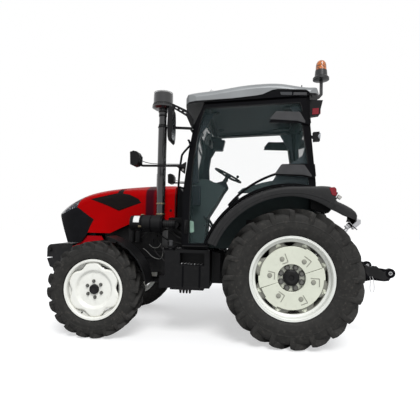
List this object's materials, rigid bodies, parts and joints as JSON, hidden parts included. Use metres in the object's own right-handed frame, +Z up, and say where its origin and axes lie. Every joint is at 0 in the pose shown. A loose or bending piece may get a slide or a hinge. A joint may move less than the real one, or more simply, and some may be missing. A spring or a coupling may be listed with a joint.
{
  "type": "farm tractor",
  "caption": "Farm tractor with a glazed cab, long hood, four driven wheels, front weights, an upright air intake and a rear three-point hitch.",
  "frame": {"origin": "on the ground under the middle of the overall length and width", "axes": "+X to the rear, +Y to the tractor's right, +Z up"},
  "size_m": [4.37, 2.1, 3.249],
  "materials": {
    "tyre": "matt",
    "wheel_paint": "satin",
    "body_red": "gloss",
    "black_paint": "satin",
    "black_plastic": "matt",
    "cast_black": "satin",
    "roof_grey": "satin",
    "glass": "clear",
    "lamp": "clear",
    "red_lens": "gloss",
    "amber": "gloss",
    "fabric": "matt",
    "steel": "satin"
  },
  "bodies": {
    "chassis": {"front_weights": "cast_black", "front_frame": "cast_black", "front_axle": "cast_black", "steering_cylinder": "black_paint", "engine": "cast_black", "gearbox": "cast_black", "rear_axle": "cast_black", "pto": "steel", "drawbar": "black_paint", "top_link": "steel", "fuel_tank": "black_plastic", "battery_box": "black_plastic", "air_filter": "black_plastic", "intake_stack": "black_paint", "exhaust_stack": "black_paint", "side_covers": "body_red", "bulkhead": "black_paint", "cab_floor": "black_paint", "cab_frame": "black_paint", "cab_roof": "roof_grey", "roof_bands": "black_plastic", "cab_glass": "glass", "fender_left": "black_plastic", "fender_right": "black_plastic", "seat": "fabric", "console": "black_plastic", "steering_wheel": "black_plastic", "mirrors": "black_plastic", "front_lamps": "black_plastic", "rear_lamps": "red_lens", "beacon": "amber"},
    "hood": {"hood_shell": "body_red", "hood_grille": "black_plastic", "headlamps": "lamp"},
    "door_left": {"door_left": "black_paint", "door_glass_left": "glass"},
    "door_right": {"door_right": "black_paint", "door_glass_right": "glass"},
    "knuckle_left": {"knuckle_left": "cast_black", "mudguard_left": "black_plastic"},
    "knuckle_right": {"knuckle_right": "cast_black", "mudguard_right": "black_plastic"},
    "tie_rod": {"tie_rod": "black_paint"},
    "steering_rod": {"steering_rod": "steel"},
    "wheel_front_left": {"tyre_front_left": "tyre", "rim_front_left": "wheel_paint"},
    "wheel_front_right": {"tyre_front_right": "tyre", "rim_front_right": "wheel_paint"},
    "wheel_rear_left": {"tyre_rear_left": "tyre", "rim_rear_left": "wheel_paint"},
    "wheel_rear_right": {"tyre_rear_right": "tyre", "rim_rear_right": "wheel_paint"},
    "lower_links": {"lower_links": "black_paint"},
    "lift_arms": {"lift_arms": "black_paint"},
    "lift_rods": {"lift_rods": "black_paint"}
  },
  "joints": [
    {"name": "wheel_spin_rear_left", "type": "hinge", "parent": "chassis", "child": "wheel_rear_left", "pos_m": [0.95, -0.77, 0.755], "axis": [0, 1, 0], "continuous": true},
    {"name": "wheel_spin_rear_right", "type": "hinge", "parent": "chassis", "child": "wheel_rear_right", "pos_m": [0.95, 0.77, 0.755], "axis": [0, 1, 0], "continuous": true},
    {"name": "steer_left", "type": "hinge", "parent": "chassis", "child": "knuckle_left", "pos_m": [-1.26, -0.68, 0.547], "axis": [0, 0, 1], "range_deg": [-35, 35]},
    {"name": "steer_right", "type": "hinge", "parent": "chassis", "child": "knuckle_right", "pos_m": [-1.26, 0.68, 0.547], "axis": [0, 0, 1], "range_deg": [-35, 35]},
    {"name": "wheel_spin_front_left", "type": "hinge", "parent": "knuckle_left", "child": "wheel_front_left", "pos_m": [-1.26, -0.79, 0.547], "axis": [0, 1, 0], "continuous": true},
    {"name": "wheel_spin_front_right", "type": "hinge", "parent": "knuckle_right", "child": "wheel_front_right", "pos_m": [-1.26, 0.79, 0.547], "axis": [0, 1, 0], "continuous": true},
    {"name": "tie_rod_pivot", "type": "hinge", "parent": "knuckle_left", "child": "tie_rod", "pos_m": [-1.44, -0.68, 0.582], "axis": [0, 0, 1], "range_deg": [-35, 35]},
    {"name": "steering_rod_slide", "type": "slide", "parent": "chassis", "child": "steering_rod", "axis": [0, 1, 0], "range_m": [-0.0865, 0.0865]},
    {"name": "hood_hinge", "type": "hinge", "parent": "chassis", "child": "hood", "pos_m": [-0.45, 0, 1.795], "axis": [0, 1, 0], "range_deg": [0, 50]},
    {"name": "door_hinge_left", "type": "hinge", "parent": "chassis", "child": "door_left", "pos_m": [1.206, -0.772, 1.8], "axis": [-0.1021, 0, 0.9948], "range_deg": [0, 75]},
    {"name": "door_hinge_right", "type": "hinge", "parent": "chassis", "child": "door_right", "pos_m": [1.206, 0.772, 1.8], "axis": [0.1021, 0, -0.9948], "range_deg": [0, 75]},
    {"name": "hitch_lift", "type": "hinge", "parent": "chassis", "child": "lower_links", "pos_m": [1.08, 0, 0.5], "axis": [0, 1, 0], "range_deg": [-6, 30]},
    {"name": "lift_arm_pivot", "type": "hinge", "parent": "chassis", "child": "lift_arms", "pos_m": [1.15, 0, 1.1], "axis": [0, 1, 0], "range_deg": [-6, 30]},
    {"name": "lift_rod_pivot", "type": "hinge", "parent": "lift_arms", "child": "lift_rods", "pos_m": [1.53637, 0, 1.20353], "axis": [0, 1, 0], "range_deg": [-30, 6]}
  ],
  "couplings": [
    {"joint": "steer_right", "follows": "steer_left", "ratio": 1},
    {"joint": "tie_rod_pivot", "follows": "steer_left", "ratio": -1},
    {"joint": "steering_rod_slide", "follows": "steer_left", "m_per_rad": -0.1408},
    {"joint": "lift_arm_pivot", "follows": "hitch_lift", "ratio": 1},
    {"joint": "lift_rod_pivot", "follows": "hitch_lift", "ratio": -1}
  ]
}
